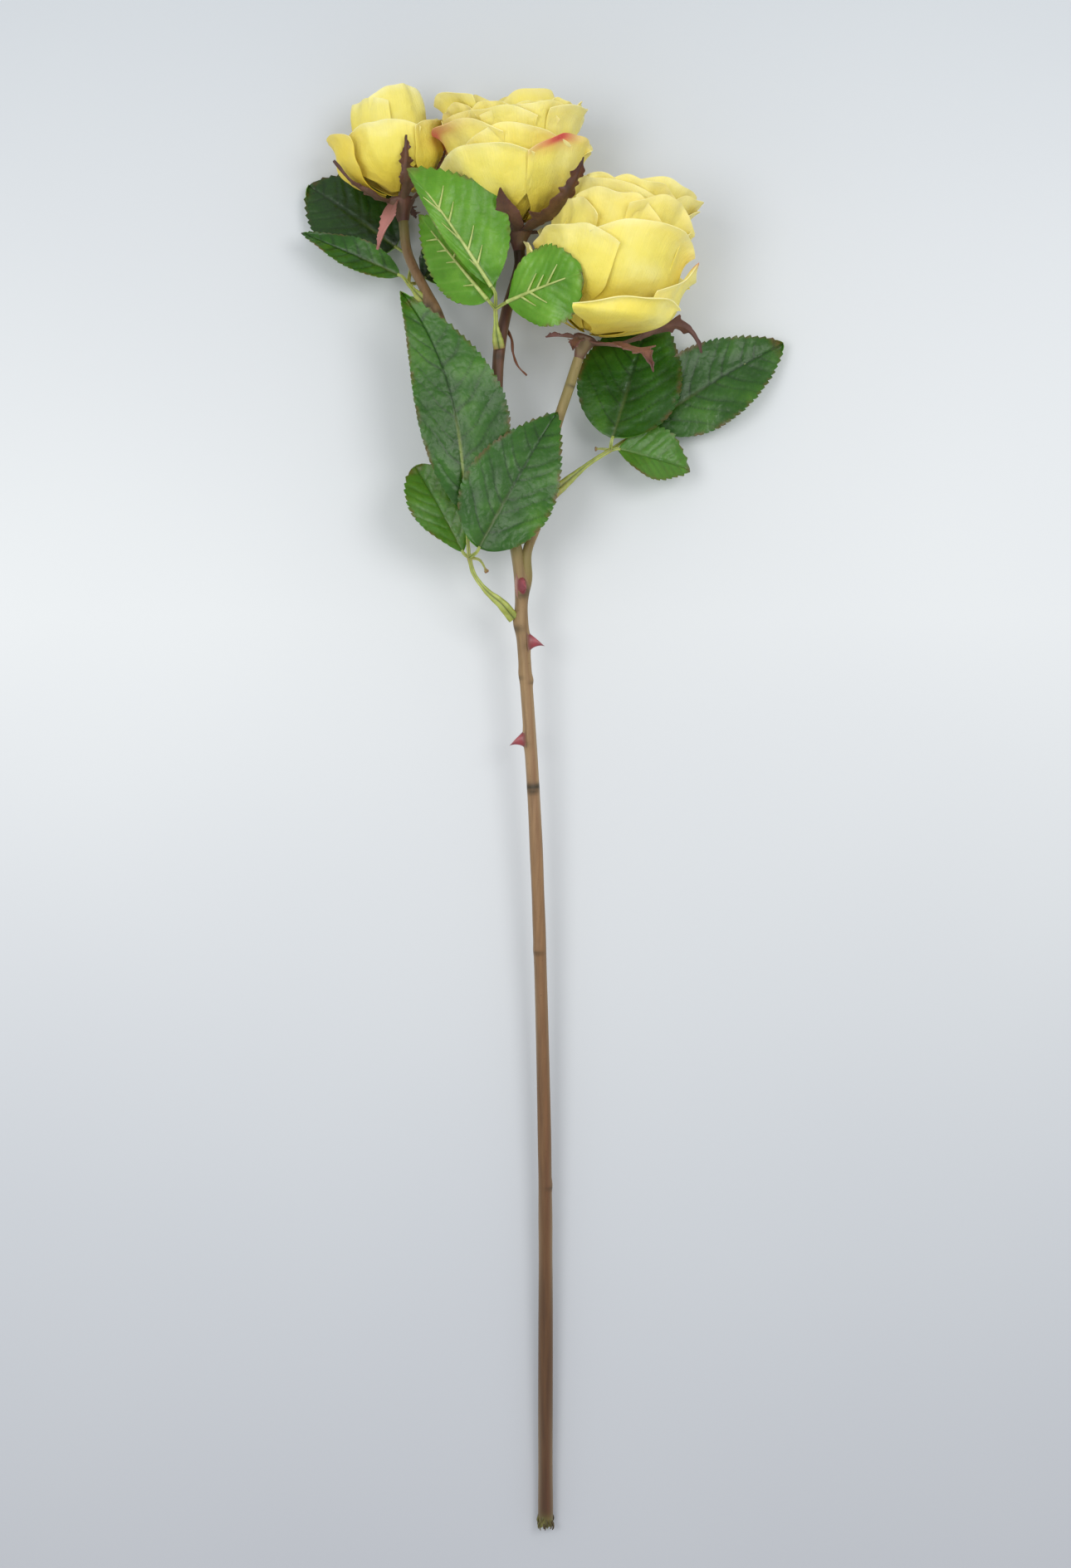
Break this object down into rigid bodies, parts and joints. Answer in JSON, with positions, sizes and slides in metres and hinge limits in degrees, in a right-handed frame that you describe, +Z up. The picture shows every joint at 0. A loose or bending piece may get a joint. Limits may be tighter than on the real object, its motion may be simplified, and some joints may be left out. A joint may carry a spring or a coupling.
{
  "type": "cut spray rose",
  "caption": "Cut spray of yellow roses on one branched woody stem with compound leaves and thorns, lying on its side.",
  "frame": {"origin": "middle of the whole spray's bounding box, on the surface it lies on", "axes": "+Z up from the surface; +Y along the stem from its cut end towards the blooms; +X to the right when looking down with the blooms at the top"},
  "size_m": [0.2188, 0.6486, 0.0756],
  "materials": {
    "bark": "matte brown bark with fine lengthwise ribs",
    "thorn": "satin red-brown",
    "stalk": "satin yellow-green",
    "leaf": "satin dark green, paler and matte beneath",
    "petal": "soft matte yellow",
    "calyx": "matte maroon brown"
  },
  "bodies": {
    "root": {"bud_bloom_calyx": "calyx", "bud_bloom_heart": "petal", "bud_bloom_petal_01": "petal", "bud_bloom_petal_02": "petal", "bud_bloom_petal_03": "petal", "bud_bloom_petal_04": "petal", "bud_bloom_petal_05": "petal", "bud_bloom_petal_06": "petal", "bud_bloom_petal_07": "petal", "bud_bloom_petal_08": "petal", "bud_branch": "bark", "bud_leaf_end_leaflet": "leaf", "bud_leaf_left_leaflet": "leaf", "bud_leaf_right_leaflet": "leaf", "bud_leaf_stalk": "stalk", "low_leaf_end_leaflet": "leaf", "low_leaf_left_leaflet": "leaf", "low_leaf_right_leaflet": "leaf", "low_leaf_stalk": "stalk", "main_stem": "bark", "middle_bloom_calyx": "calyx", "middle_bloom_heart": "petal", "middle_bloom_petal_01": "petal", "middle_bloom_petal_02": "petal", "middle_bloom_petal_03": "petal", "middle_bloom_petal_04": "petal", "middle_bloom_petal_05": "petal", "middle_bloom_petal_06": "petal", "middle_bloom_petal_07": "petal", "middle_bloom_petal_08": "petal", "middle_bloom_petal_09": "petal", "middle_bloom_petal_10": "petal", "middle_bloom_petal_11": "petal", "middle_bloom_petal_12": "petal", "middle_leaf_end_leaflet": "leaf", "middle_leaf_left_leaflet": "leaf", "middle_leaf_right_leaflet": "leaf", "middle_leaf_stalk": "stalk", "right_bloom_calyx": "calyx", "right_bloom_heart": "petal", "right_bloom_petal_01": "petal", "right_bloom_petal_02": "petal", "right_bloom_petal_03": "petal", "right_bloom_petal_04": "petal", "right_bloom_petal_05": "petal", "right_bloom_petal_06": "petal", "right_bloom_petal_07": "petal", "right_bloom_petal_08": "petal", "right_bloom_petal_09": "petal", "right_bloom_petal_10": "petal", "right_bloom_petal_11": "petal", "right_bloom_petal_12": "petal", "right_branch": "bark", "right_leaf_end_leaflet": "leaf", "right_leaf_inner_leaflet": "leaf", "right_leaf_outer_leaflet": "leaf", "right_leaf_stalk": "stalk", "thorn_left": "thorn", "thorn_right": "thorn", "thorn_upper": "thorn"}
  },
  "joints": []
}
